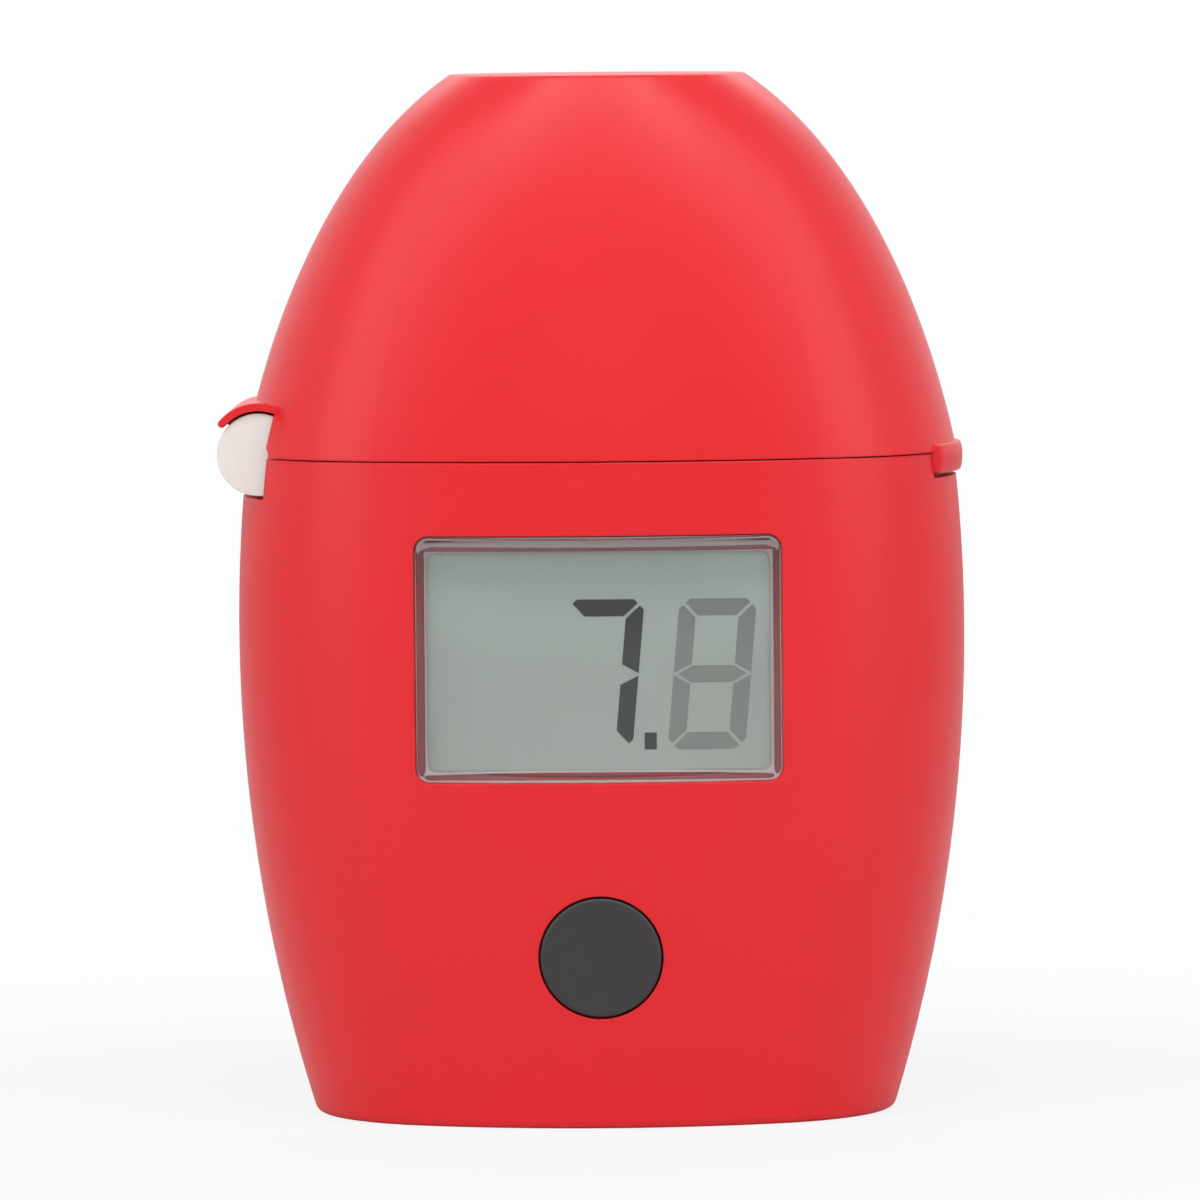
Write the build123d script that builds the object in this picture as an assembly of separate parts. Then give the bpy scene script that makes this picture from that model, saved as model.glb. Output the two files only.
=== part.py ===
from build123d import *
import os
from math import atan2, cos, radians, sin, sqrt

os.makedirs("parts", exist_ok=True)

# Portable colorimeter, in millimetres: +Z up, front at -Y, hinge at -X.
# The origin is the centre of the flat base.

# General clearances
fit_gap = 0.1
seat_gap = 0.25

# Walls
wall = 1.8
floor_thickness = 1.8

# What the case is made to hold: a cuvette behind the display stack, and a battery across
cuvette_diameter = 25.0
cuvette_gap = 0.1
well_wall = 1.0
well_radius = cuvette_diameter / 2 + cuvette_gap
well_outer = well_radius + well_wall
well_back_gap = 1.25
lens_depth = 3.75
glass_gap = 0.3
glass_thickness = 1.3
strip_thickness = 0.8
board_thickness = 0.8
board_gap = 0.3
battery_diameter = 10.5
battery_length = 44.5
battery_end_room = 7.85

# Case and lid, outer form
display_stack = lens_depth + glass_gap + glass_thickness + strip_thickness + board_thickness
case_half_depth = (display_stack + board_gap + 2 * well_outer + well_back_gap + wall) / 2
case_half_width = battery_length / 2 + battery_end_room
case_top = 54.65
seam_gap = 0.1
lid_bottom = case_top + seam_gap
lid_top = 86.0
waist_z = 40.0
case_side_radius = 134.0
case_front_radius = 292.0
lid_step = 0.65
lid_bow_width = case_half_width - lid_step
lid_bow_rise = 3.3
lid_bow_z = 36.2
lid_bow_height = lid_top + lid_bow_rise - lid_bow_z
lid_flat = 1.95
lid_depth_step = 0.55
lid_front_radius = 90.0
lid_crown_z = 48.0
side_roundness = 0.88
base_rounding = 0.8
top_rounding = 0.5

# Window, display and board, in a stack behind the front wall
window_width = 30.0
window_height = 20.2
window_z = 38.6
window_corner = 1.2
flange_thickness = 0.6
flange_lip = 0.85
glass_width = window_width - 0.3
glass_height = window_height + 1.1
glass_corner = 0.3
frame_rim = 1.0
frame_corner = 0.8
board_margin = 0.5
board_width = glass_width + 2 * frame_rim + 2 * board_margin
board_top = window_z + glass_height / 2 + frame_rim + 0.8
board_shoulder = window_z - glass_height / 2 - frame_rim - 2.5
board_foot_width = 21.0
board_bottom = 7.6
strip_height = 1.6
strip_width = glass_width - 4.6
reflector_thickness = 0.3

# Parts soldered to the back of the board, beside the well
part_inset = 4.2
chip_rise = 3.0
chip_width = 7.0
chip_thickness = 1.4
amplifier_width = 5.0
amplifier_height = 4.0
crystal_drop = 7.0
crystal_width = 3.0
crystal_height = 7.0
crystal_thickness = 1.5
capacitor_drop = 8.5
capacitor_radius = 2.0
capacitor_length = 4.2

# Push button and its switch
button_diameter = 9.9
button_z = 14.2
button_gap = 0.15
button_flange = 0.9
button_flange_thickness = 0.6
button_dish = 0.25
button_travel = 0.5
plunger_radius = 1.6
switch_size = 6.0
switch_height = 1.3
switch_tip_radius = 1.4
switch_tip_height = 0.45

# Cuvette well and its optics
well_bottom = 18.2
well_floor = 1.4
well_flange = 1.0
beam_z = 30.0
beam_radius = 2.0
led_radius = 2.5
led_length = 6.4
led_rim_radius = 2.9
led_rim_thickness = 0.9
optics_block_width = 8.6
optics_block_height = 9.0
optics_block_end = 20.2
filter_radius = 3.5
filter_thickness = 2.0
filter_start = 14.9
photodiode_size = 5.2
photodiode_thickness = 2.0
small_board_width = 10.0
small_board_height = 8.4
small_board_thickness = 1.0

# Inner deck below the lid, and the light seal round the well
deck_thickness = 1.8
deck_drop = 0.2
seal_inner = well_radius + 0.3
seal_width = 1.3
seal_height = 0.35

# Hinge on the left, with its axis along Y
hinge_inset = 2.1
hinge_x = -(case_half_width - hinge_inset)
hinge_z = case_top + 0.35
barrel_radius = 3.4
barrel_half_length = 7.5
lid_knuckle_half_length = 3.4
knuckle_gap = 0.3
pin_radius = 0.8
pin_gap = 0.05
pin_end_wall = 1.0
ear_gap = 0.2
ear_thickness = 0.65
ear_inner = barrel_radius + ear_gap
ear_outer = ear_inner + ear_thickness
ear_start_angle = 66.0
ear_end_angle = 139.0
knuckle_start_angle = 50.0
notch_end_gap = 0.3
notch_half_length = barrel_half_length + notch_end_gap
notch_floor_gap = 0.3
notch_floor = hinge_z - barrel_radius - notch_floor_gap
frame_foot_width = 3.6
frame_foot_x = hinge_x + 4.1

# Thumb tab on the right edge of the lid
tab_rise = 0.65
tab_drop = 1.75
tab_half_length = 7.5
tab_proud = 0.5
tab_thickness = 1.25
tab_curve_radius = 4.2
tab_rounding = 0.25
tab_under_gap = 0.35
tab_end_gap = 0.15
tab_back_gap = 0.25

# Lining of the lid
liner_thickness = 0.8
liner_gap = 0.2
liner_lift = 0.25

# Battery, its tray and contacts
battery_nub_radius = 1.9
battery_nub_length = 1.0
battery_z = 11.5
battery_shift = 0.3
battery_left = -battery_length / 2 - battery_shift
tray_wall = 0.8
tray_gap = 0.15
tray_rise = 2.0
tray_end_half = 4.0
tray_rib_x = 12.0
tray_rib_half = 3.0
spring_length = 1.15
spring_wire = 0.2
spring_radius = 2.6
spring_turns = 2
contact_thickness = 0.3
contact_width = 7.0

# Battery door in the back
door_ledge = 1.0
door_half_width = battery_length / 2 + 0.35 + door_ledge
door_bottom = 5.1
door_top = 17.9
door_skin = 1.0
door_gap = 0.15
door_foot_half_width = 4.0
door_foot_z = 1.3
door_screw_z = 3.5
door_screw_head = 1.5
door_screw_head_height = 0.7
door_screw_shank = 0.7
door_screw_length = 5.5
door_boss_radius = 1.6
door_bore_gap = 0.05

# Screws that hold the two halves of the case together
screw_inset = 8.5
screw_x = case_half_width - screw_inset
screw_low_z = 22.6
screw_high_z = 46.6
screw_levels = (screw_low_z, screw_high_z)
screw_recess_half = 1.1
screw_recess_width = 0.5
screw_recess_depth = 0.8
screw_head_rounding = 0.5
screw_head_radius = 2.0
screw_head_height = 1.5
screw_shank = 1.1
screw_length = 12.0
screw_seat = 9.0
screw_boss = 2.5
screw_bore_gap = 0.15
board_screw_x = 8.2
board_screw_z = 22.4
board_screw_head = 1.4
board_screw_head_height = 0.9
board_screw_shank = 0.6
board_screw_length = 3.4
board_post = 1.5


def arc_drop(radius, offset):
    """Fall of an arc below its crown at a distance from it."""
    return radius - sqrt(radius**2 - offset**2)


def case_width_at(z):
    """Half width of the case at a height."""
    return case_half_width - arc_drop(case_side_radius, z - waist_z)


def case_depth_at(z):
    """Half depth of the case at a height."""
    return case_half_depth - arc_drop(case_front_radius, z - waist_z)


def lid_width_at(z):
    """Half width of the lid at a height: an upright ellipse's side, set out from the middle."""
    return lid_flat + lid_bow_width * sqrt(1 - ((z - lid_bow_z) / lid_bow_height) ** 2)


def lid_depth_at(z):
    """Half depth of the lid at a height."""
    start = arc_drop(lid_front_radius, lid_bottom - lid_crown_z)
    return case_half_depth - lid_depth_step + start - arc_drop(lid_front_radius, z - lid_crown_z)


def oval(half_width, half_depth, z):
    """Level oval of four tangent arcs: gently curved front and back, round sides."""
    side = side_roundness * half_depth
    side_x = half_width - side
    front = (side_x**2 + half_depth**2 - side**2) / (2 * (half_depth - side))
    front_y = front - half_depth
    reach = front - side
    x = side_x * front / reach
    y = front_y * front / reach - front_y
    outline = Curve() + [
        ThreePointArc((-x, -y), (0, -half_depth), (x, -y)),
        ThreePointArc((x, -y), (half_width, 0), (x, y)),
        ThreePointArc((x, y), (0, half_depth), (-x, y)),
        ThreePointArc((-x, y), (-half_width, 0), (-x, -y)),
    ]
    return Pos(0, 0, z) * make_face(outline)


def form(width_at, depth_at, low, high, inset=0.0, steps=5):
    """Solid through level ovals from one height to another, inset all round."""
    heights = [low + (high - low) * i / (steps - 1) for i in range(steps)]
    return loft([oval(width_at(z) - inset, depth_at(z) - inset, z) for z in heights])


def case_form(low, high, inset=0.0):
    """The case's oval form between two heights."""
    return form(case_width_at, case_depth_at, low, high, inset)


def lid_form(low, high, inset=0.0):
    """The lid's oval form between two heights."""
    return form(lid_width_at, lid_depth_at, low, high, inset, 7)


def block(x, y, z):
    """Box between a low and a high value on each axis."""
    size = Box(x[1] - x[0], y[1] - y[0], z[1] - z[0])
    return Pos((x[0] + x[1]) / 2, (y[0] + y[1]) / 2, (z[0] + z[1]) / 2) * size


def rod_x(y, z, ends, radius):
    """Round bar along X."""
    bar = Rot(0, 90, 0) * Cylinder(radius, ends[1] - ends[0])
    return Pos((ends[0] + ends[1]) / 2, y, z) * bar


def rod_y(x, z, ends, radius):
    """Round bar along Y."""
    bar = Rot(90, 0, 0) * Cylinder(radius, ends[1] - ends[0])
    return Pos(x, (ends[0] + ends[1]) / 2, z) * bar


def rod_z(x, y, ends, radius):
    """Upright round bar."""
    return Pos(x, y, (ends[0] + ends[1]) / 2) * Cylinder(radius, ends[1] - ends[0])


def rounded_block(width, height, corner, y, z):
    """Upright plate with round corners, between two values of Y."""
    outline = RectangleRounded(width, height, corner)
    plate = extrude(outline, y[1] - y[0])
    return Pos(0, y[1], z) * Rot(90, 0, 0) * plate


def save(name, shape):
    """Write one sub-part."""
    export_step(shape, f"parts/{name}.step")


far = 60.0
front_side = block((-far, far), (-far, 0), (-far, 2 * far))
rear_side = block((-far, far), (0, far), (-far, 2 * far))

# Hollow case before it is parted
case_outer = case_form(0, case_top)
case_outer = fillet(case_outer.edges().group_by(Axis.Z)[0], base_rounding)
case_cavity = case_form(floor_thickness, case_top + wall, wall)
case_body = case_outer - case_cavity
cavity_fit = case_form(floor_thickness, case_top + wall, wall + seat_gap)

hinge_notch = block(
    (-far, frame_foot_x - seat_gap), (-notch_half_length, notch_half_length), (notch_floor, far)
)
tab_bottom = lid_bottom - tab_drop
tab_top = lid_bottom + tab_rise
tab_middle = (tab_bottom + tab_top) / 2


def tab_width_at(z):
    """Half width of the oval that the tab's face follows, bulging at its middle."""
    return lid_width_at(lid_bottom) + tab_proud - arc_drop(tab_curve_radius, z - tab_middle)


def tab_depth_at(z):
    """Half depth of the oval that the tab's face follows."""
    return lid_depth_at(lid_bottom) + tab_proud - arc_drop(tab_curve_radius, z - tab_middle)


tab_notch_half = tab_half_length + tab_end_gap
tab_notch_z = (tab_bottom - tab_under_gap, far)
tab_notch = block((0, far), (-tab_notch_half, tab_notch_half), tab_notch_z)
tab_notch -= form(tab_width_at, tab_depth_at, tab_bottom - 1, tab_top + 1, tab_thickness + tab_back_gap)
case_body = case_body - hinge_notch - tab_notch

# Window: a clear lens that follows the front of the case, with a flange glued behind the wall
opening = rounded_block(window_width, window_height, window_corner, (-far, 0), window_z)
flange_width = window_width + 2 * flange_lip
flange_height = window_height + 2 * flange_lip
window_back = -case_half_depth + lens_depth - flange_thickness
flange_back = window_back + flange_thickness
lens_plug = rounded_block(
    window_width - 2 * fit_gap,
    window_height - 2 * fit_gap,
    window_corner - fit_gap,
    (-far, flange_back),
    window_z,
)
lens_body = case_form(0, case_top, fit_gap) & lens_plug
flange_y = (window_back, flange_back)
lens_flange = rounded_block(flange_width, flange_height, window_corner, flange_y, window_z)
window_lens = lens_body + lens_flange
flange_pocket = rounded_block(
    flange_width + 2 * fit_gap,
    flange_height + 2 * fit_gap,
    window_corner + fit_gap,
    (window_back, 0),
    window_z,
)

# Display glass in its frame, between the lens and the board
glass_front = flange_back + glass_gap
glass_back = glass_front + glass_thickness
board_face = glass_back + strip_thickness
glass_y = (glass_front, glass_back)
display_glass = rounded_block(glass_width, glass_height, glass_corner, glass_y, window_z)
frame_width = glass_width + 2 * frame_rim
frame_height = glass_height + 2 * frame_rim
frame_y = (glass_front, board_face)
display_frame = rounded_block(frame_width, frame_height, frame_corner, frame_y, window_z)
display_frame -= rounded_block(
    glass_width + 2 * fit_gap,
    glass_height + 2 * fit_gap,
    glass_corner + fit_gap,
    (glass_front - 1, board_face + 1),
    window_z,
)
strip_z = glass_height / 2 - strip_height / 2
contact_strips = Part() + [
    block(
        (-strip_width / 2, strip_width / 2),
        (glass_back, board_face),
        (window_z + side * strip_z - strip_height / 2, window_z + side * strip_z + strip_height / 2),
    )
    for side in (-1, 1)
]
reflector_height = glass_height - 2 * strip_height - 2 * seat_gap
reflector = block(
    (-glass_width / 2, glass_width / 2),
    (glass_back, glass_back + reflector_thickness),
    (window_z - reflector_height / 2, window_z + reflector_height / 2),
)
display_pocket = rounded_block(
    frame_width + 2 * seat_gap,
    frame_height + 2 * seat_gap,
    frame_corner + seat_gap,
    (glass_front - fit_gap, 0),
    window_z,
)

# Main board, wide behind the display and narrow down to the switch
board_back = board_face + board_thickness
board_depth = (board_face, board_back)
board_head = (-board_width / 2, board_width / 2)
board_foot = (-board_foot_width / 2, board_foot_width / 2)
main_board = block(board_head, board_depth, (board_shoulder, board_top))
main_board += block(board_foot, board_depth, (board_bottom, board_shoulder))
for side in (-1, 1):
    main_board -= rod_y(side * board_screw_x, board_screw_z, (-far, far), board_screw_shank + fit_gap)


def on_board(x, z, width, thickness, height):
    """Box on the back of the board, about a centre."""
    span_x = (x - width / 2, x + width / 2)
    return block(span_x, (board_back, board_back + thickness), (z - height / 2, z + height / 2))


part_x = board_width / 2 - part_inset
controller_chip = on_board(-part_x, window_z + chip_rise, chip_width, chip_thickness, chip_width)
amplifier_chip = on_board(part_x, window_z + chip_rise, amplifier_width, chip_thickness, amplifier_height)
crystal_can = on_board(-part_x, window_z - crystal_drop, crystal_width, crystal_thickness, crystal_height)
capacitor_y = (board_back, board_back + capacitor_length)
board_capacitor = rod_y(part_x, window_z - capacitor_drop, capacitor_y, capacitor_radius)
well_y = board_back + board_gap + well_outer

# Push button, square to the sloping front wall
slope = atan2(waist_z - button_z, case_front_radius)
button_y = -case_depth_at(button_z)
button_place = Location(Plane((0, button_y, button_z), x_dir=(1, 0, 0), z_dir=(0, cos(slope), sin(slope))))
button_radius = button_diameter / 2
button_height = wall + fit_gap
button_hole = button_place * Pos(0, 0, 1) * Cylinder(button_radius + button_gap, 8)
button_relief = button_place * Pos(0, 0, wall + 2) * Cylinder(button_radius + button_flange + seat_gap, 4)
switch_face = board_face - switch_height
switch_tip = switch_face - switch_tip_height
plunger_end = switch_tip - button_travel - fit_gap - button_y
cap = Pos(0, 0, button_height / 2) * Cylinder(button_radius, button_height)
cap = fillet(cap.edges().group_by(Axis.Z)[0], 0.3)
cap += Pos(0, 0, button_height + button_flange_thickness / 2) * Cylinder(
    button_radius + button_flange, button_flange_thickness
)
cap += Pos(0, 0, (button_height + plunger_end) / 2) * Cylinder(plunger_radius, plunger_end - button_height)
dish_radius = (button_radius - 0.7) ** 2 / (2 * button_dish) + button_dish / 2
cap -= Pos(0, 0, button_dish - dish_radius) * Sphere(dish_radius)
button_cap = button_place * cap
half_switch = switch_size / 2
tact_switch = block(
    (-half_switch, half_switch), (switch_face, board_face), (button_z - half_switch, button_z + half_switch)
)
tact_switch += rod_y(0, button_z, (switch_tip, switch_face), switch_tip_radius)

# Cuvette well with a flange under the deck and holes for the light beam
deck_top = case_top - deck_drop
deck_bottom = deck_top - deck_thickness
cuvette_well = rod_z(0, well_y, (well_bottom, deck_top), well_outer)
well_rim_z = (deck_bottom - well_flange, deck_bottom)
cuvette_well += rod_z(0, well_y, well_rim_z, well_outer + well_flange) & cavity_fit
cuvette_well -= rod_z(0, well_y, (well_bottom + well_floor, far), well_radius)
cuvette_well -= rod_x(well_y, beam_z, (-far, far), beam_radius)

# Lamp on the left of the well, filter and sensor on the right
well_bar = rod_z(0, well_y, (0, far), well_outer)
block_y = (well_y - optics_block_width / 2, well_y + optics_block_width / 2)
block_z = (beam_z - optics_block_height / 2, beam_z + optics_block_height / 2)
led_holder = block((-optics_block_end, 0), block_y, block_z) - well_bar
led_holder -= rod_x(well_y, beam_z, (-far, 0), led_radius + fit_gap)
led_back = -optics_block_end
led_lamp = rod_x(well_y, beam_z, (led_back, led_back + led_length - led_radius), led_radius)
led_lamp += Pos(led_back + led_length - led_radius, well_y, beam_z) * Sphere(led_radius)
led_lamp += rod_x(well_y, beam_z, (led_back - led_rim_thickness, led_back), led_rim_radius)
board_y = (well_y - small_board_width / 2, well_y + small_board_width / 2)
board_z = (beam_z - small_board_height / 2, beam_z + small_board_height / 2)
led_board_x = led_back - led_rim_thickness
led_board = block((led_board_x - small_board_thickness, led_board_x), board_y, board_z)

filter_end = filter_start + filter_thickness
diode_start = filter_end + fit_gap
sensor_holder = block((0, optics_block_end), block_y, block_z) - well_bar
sensor_holder -= rod_x(well_y, beam_z, (0, filter_start), beam_radius)
sensor_holder -= rod_x(well_y, beam_z, (filter_start, diode_start), filter_radius + fit_gap)
half_diode = photodiode_size / 2
sensor_holder -= block(
    (diode_start, far),
    (well_y - half_diode - fit_gap, well_y + half_diode + fit_gap),
    (beam_z - half_diode - fit_gap, beam_z + half_diode + fit_gap),
)
light_filter = rod_x(well_y, beam_z, (filter_start, filter_end), filter_radius)
diode_end = optics_block_end
photodiode = block(
    (diode_end - photodiode_thickness, diode_end),
    (well_y - half_diode, well_y + half_diode),
    (beam_z - half_diode, beam_z + half_diode),
)
sensor_board = block((optics_block_end, optics_block_end + small_board_thickness), board_y, board_z)

# Deck that closes the top of the case round the well
inner_deck = form(case_width_at, case_depth_at, deck_bottom, deck_top, wall + seat_gap, 3)
inner_deck -= rod_z(0, well_y, (0, far), well_outer + fit_gap)
deck_notch_gap = seat_gap + fit_gap
inner_deck -= block(
    (-far, frame_foot_x + frame_foot_width + deck_notch_gap),
    (-notch_half_length, notch_half_length),
    (notch_floor, far),
)
light_seal = rod_z(0, well_y, (deck_top, deck_top + seal_height), seal_inner + seal_width)
light_seal -= rod_z(0, well_y, (0, far), seal_inner)

# Hinge frame: two fixed knuckles on a foot that sits in the notch of the case
frame_foot_end = frame_foot_x + frame_foot_width
knuckle_inner = lid_knuckle_half_length + knuckle_gap
hinge_frame = block(
    (frame_foot_x, frame_foot_end),
    (-barrel_half_length, barrel_half_length),
    (notch_floor, deck_top),
)
for side in (-1, 1):
    ends = sorted((side * knuckle_inner, side * barrel_half_length))
    hinge_frame += rod_y(hinge_x, hinge_z, ends, barrel_radius)
    hinge_frame += block((hinge_x, frame_foot_x), ends, (hinge_z - barrel_radius, deck_top))
pin_half_length = barrel_half_length - pin_end_wall
pin_bore_end = pin_half_length + fit_gap
hinge_frame -= rod_y(hinge_x, hinge_z, (-pin_bore_end, pin_bore_end), pin_radius + pin_gap)
hinge_pin = rod_y(hinge_x, hinge_z, (-pin_half_length, pin_half_length), pin_radius)

# Battery, its tray and its two contacts
battery_radius = battery_diameter / 2
battery_right = battery_left + battery_length
battery_body_end = battery_right - battery_nub_length
battery_cell = rod_x(0, battery_z, (battery_left, battery_body_end), battery_radius)
battery_cell = fillet(battery_cell.edges(), 0.4)
battery_cell += rod_x(0, battery_z, (battery_body_end, battery_right), battery_nub_radius)
spring_back = battery_left - spring_length - fit_gap
tray_left = spring_back - tray_wall
plate_x = battery_right + fit_gap
tray_right = plate_x + contact_thickness + tray_wall
tray_top = battery_z + tray_rise
tray_floor = battery_z - battery_radius - tray_gap
tray_half = battery_radius + tray_gap
tray_x = (tray_left, tray_right)
tray_base = tray_floor - tray_wall
battery_tray = block(tray_x, (-tray_half - tray_wall, tray_end_half), (tray_base, tray_floor))
battery_tray += block(tray_x, (-tray_half - tray_wall, -tray_half), (tray_base, tray_top))
for end_x in ((tray_left, spring_back), (tray_right - tray_wall, tray_right)):
    battery_tray += block(end_x, (-tray_half, tray_end_half), (tray_floor, tray_top))
battery_tray = battery_tray & cavity_fit
for side in (-1, 1):
    rib_x = (side * tray_rib_x - tray_wall, side * tray_rib_x + tray_wall)
    battery_tray += block(rib_x, (-tray_rib_half, tray_rib_half), (floor_thickness, tray_floor))
coil_height = spring_length - 2 * spring_wire
coil = Helix(pitch=coil_height / spring_turns, height=coil_height, radius=spring_radius)
coil_section = Plane(coil @ 0, z_dir=coil % 0) * Circle(spring_wire)
contact_spring = sweep(coil_section, path=coil)
contact_spring = Pos(spring_back + spring_wire, 0, battery_z) * Rot(0, 90, 0) * contact_spring
contact_plate = block(
    (plate_x, plate_x + contact_thickness),
    (-contact_width / 2, contact_width / 2),
    (battery_z - contact_width / 2, tray_top),
)

# Battery door: a skin on a ledge in the back wall, with a plug behind it
door_zone = block((-door_half_width, door_half_width), (1, far), (door_bottom, door_top))
door_zone += block((-door_foot_half_width, door_foot_half_width), (1, far), (door_foot_z, door_bottom + 1))
narrow = door_half_width - door_ledge
plug_zone = block((-narrow, narrow), (1, far), (door_bottom + door_ledge, door_top - door_ledge))
plug_foot = door_foot_half_width - door_ledge
plug_zone += block((-plug_foot, plug_foot), (1, far), (door_foot_z + door_ledge, door_top - door_ledge))
skin_back = case_form(-1, case_top, door_skin)
ledge_face = case_form(-1, case_top, door_skin + door_gap)
inner_face = case_form(-1, case_top, wall)
door_cut = (door_zone - ledge_face) + plug_zone
skin_x = door_half_width - door_gap
skin_zone = block((-skin_x, skin_x), (1, far), (door_bottom + door_gap, door_top - door_gap))
skin_zone += block(
    (-door_foot_half_width + door_gap, door_foot_half_width - door_gap),
    (1, far),
    (door_foot_z + door_gap, door_bottom + 1),
)
plug_x = narrow - door_gap
plug_foot_x = plug_foot - door_gap
plug_rim = door_ledge + door_gap
plug_fit = block((-plug_x, plug_x), (1, far), (door_bottom + plug_rim, door_top - plug_rim))
plug_fit += block((-plug_foot_x, plug_foot_x), (1, far), (door_foot_z + plug_rim, door_top - plug_rim))
battery_door = ((case_outer & skin_zone) - skin_back) + ((case_outer & plug_fit) - inner_face)
door_y = case_depth_at(door_screw_z)
door_head_seat = door_y - door_screw_head_height - 0.3
battery_door -= rod_y(0, door_screw_z, (0, far), door_screw_shank + fit_gap)
battery_door -= rod_y(0, door_screw_z, (door_head_seat, far), door_screw_head + fit_gap)
door_head_y = (door_head_seat, door_head_seat + door_screw_head_height)
door_screw = rod_y(0, door_screw_z, door_head_y, door_screw_head)
door_shank_y = (door_head_seat - door_screw_length, door_head_seat)
door_screw += rod_y(0, door_screw_z, door_shank_y, door_screw_shank)
slot_width = 0.4
door_screw -= block(
    (-slot_width / 2, slot_width / 2),
    (door_head_seat + door_screw_head_height / 2, far),
    (0, door_screw_z + door_screw_head + 1),
)
door_boss_end = door_y - wall - door_gap - fit_gap
door_boss_y = (door_boss_end - door_screw_length - 0.5, door_boss_end)
door_boss = block((-door_boss_radius, door_boss_radius), door_boss_y, (floor_thickness / 2, door_screw_z))
door_boss += rod_y(0, door_screw_z, door_boss_y, door_boss_radius)

# Screws and their bosses, which reach into the curved walls
boss_reach = case_half_depth - wall / 2
screw_places = [(side * screw_x, z) for z in screw_levels for side in (-1, 1)]


def case_screw(x, z):
    """Pan-head screw driven from the back, with a cross recess."""
    screw = rod_y(x, z, (screw_seat, screw_seat + screw_head_height), screw_head_radius)
    screw = fillet(screw.edges().group_by(Axis.Y)[-1], screw_head_rounding)
    screw += rod_y(x, z, (screw_seat - screw_length, screw_seat), screw_shank)
    recess = (screw_seat + screw_head_height - screw_recess_depth, far)
    narrow = screw_recess_width / 2
    long = screw_recess_half
    screw -= block((x - narrow, x + narrow), recess, (z - long, z + long))
    screw -= block((x - long, x + long), recess, (z - narrow, z + narrow))
    return screw


case_screws = Part() + [case_screw(x, z) for x, z in screw_places]
board_screws = Part()
for side in (-1, 1):
    screw_head = (board_back, board_back + board_screw_head_height)
    board_screws += rod_y(side * board_screw_x, board_screw_z, screw_head, board_screw_head)
    board_screws += rod_y(
        side * board_screw_x, board_screw_z, (board_back - board_screw_length, board_back), board_screw_shank
    )

# Front half of the case
front_shell = case_body & front_side
for x, z in screw_places:
    front_shell += rod_y(x, z, (-boss_reach, 0), screw_boss) & case_outer
    front_shell -= rod_y(x, z, (screw_seat - screw_length - 1, 1), screw_shank + fit_gap)
for side in (-1, 1):
    post_y = (-boss_reach, board_face)
    front_shell += rod_y(side * board_screw_x, board_screw_z, post_y, board_post) & case_outer
    bore_y = (board_back - board_screw_length - seat_gap, 0)
    front_shell -= rod_y(side * board_screw_x, board_screw_z, bore_y, board_screw_shank + fit_gap)
front_shell = front_shell - opening - flange_pocket - display_pocket - button_hole - button_relief

# Rear half of the case
rear_shell = case_body & rear_side
for x, z in screw_places:
    rear_shell += rod_y(x, z, (0, boss_reach), screw_boss) & case_outer
    rear_shell -= rod_y(x, z, (-1, screw_seat + 1), screw_shank + screw_bore_gap)
    rear_shell -= rod_y(x, z, (screw_seat, far), screw_head_radius + screw_bore_gap)
rear_shell -= door_cut
rear_shell += door_boss
door_bore_y = (door_head_seat - door_screw_length - 0.2, far)
rear_shell -= rod_y(0, door_screw_z, door_bore_y, door_screw_shank + door_bore_gap)

# Lid with its ear over the barrel, middle knuckle and thumb tab
lid_outer = lid_form(lid_bottom, lid_top)
lid_outer = fillet(lid_outer.edges().group_by(Axis.Z)[-1], top_rounding)
lid_shell = lid_outer - lid_form(lid_bottom - 1, lid_top - wall, wall)
notch_y = (-notch_half_length, notch_half_length)
lid_shell -= rod_y(hinge_x, hinge_z, notch_y, ear_inner)


def fan(start, end, y):
    """Wedge about the hinge axis between two angles in degrees, counted from +X towards +Z."""
    reach = 3 * ear_outer
    middle = (start + end) / 2
    corners = [(0, 0)] + [(reach * cos(radians(a)), reach * sin(radians(a))) for a in (start, middle, end)]
    wedge = extrude(make_face(Polyline(*corners, close=True)), y[1] - y[0])
    return Pos(hinge_x, y[1], hinge_z) * Rot(90, 0, 0) * wedge


ear_y = notch_y
ear = rod_y(hinge_x, hinge_z, ear_y, ear_outer) - rod_y(hinge_x, hinge_z, ear_y, ear_inner)
ear = ear & fan(ear_start_angle, ear_end_angle, ear_y)
ear_middle = (ear_inner + ear_outer) / 2
ear += rod_y(
    hinge_x + ear_middle * cos(radians(ear_end_angle)),
    hinge_z + ear_middle * sin(radians(ear_end_angle)),
    ear_y,
    (ear_outer - ear_inner) / 2,
)
lid_knuckle_y = (-lid_knuckle_half_length, lid_knuckle_half_length)
knuckle = rod_y(hinge_x, hinge_z, lid_knuckle_y, barrel_radius)
knuckle_web = fan(knuckle_start_angle, ear_end_angle, lid_knuckle_y)
knuckle += rod_y(hinge_x, hinge_z, lid_knuckle_y, ear_middle) & knuckle_web
lid_shell += ear
lid_shell += knuckle
lid_shell -= rod_y(hinge_x, hinge_z, (-far, far), pin_radius + pin_gap)
tab = form(tab_width_at, tab_depth_at, tab_bottom, tab_top)
tab -= form(tab_width_at, tab_depth_at, tab_bottom - 0.1, tab_top + 0.1, tab_thickness)
tab = tab & block((0, far), (-tab_half_length, tab_half_length), (tab_bottom, tab_top))
tab = fillet(tab.edges(), tab_rounding)
lid_shell += tab

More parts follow.
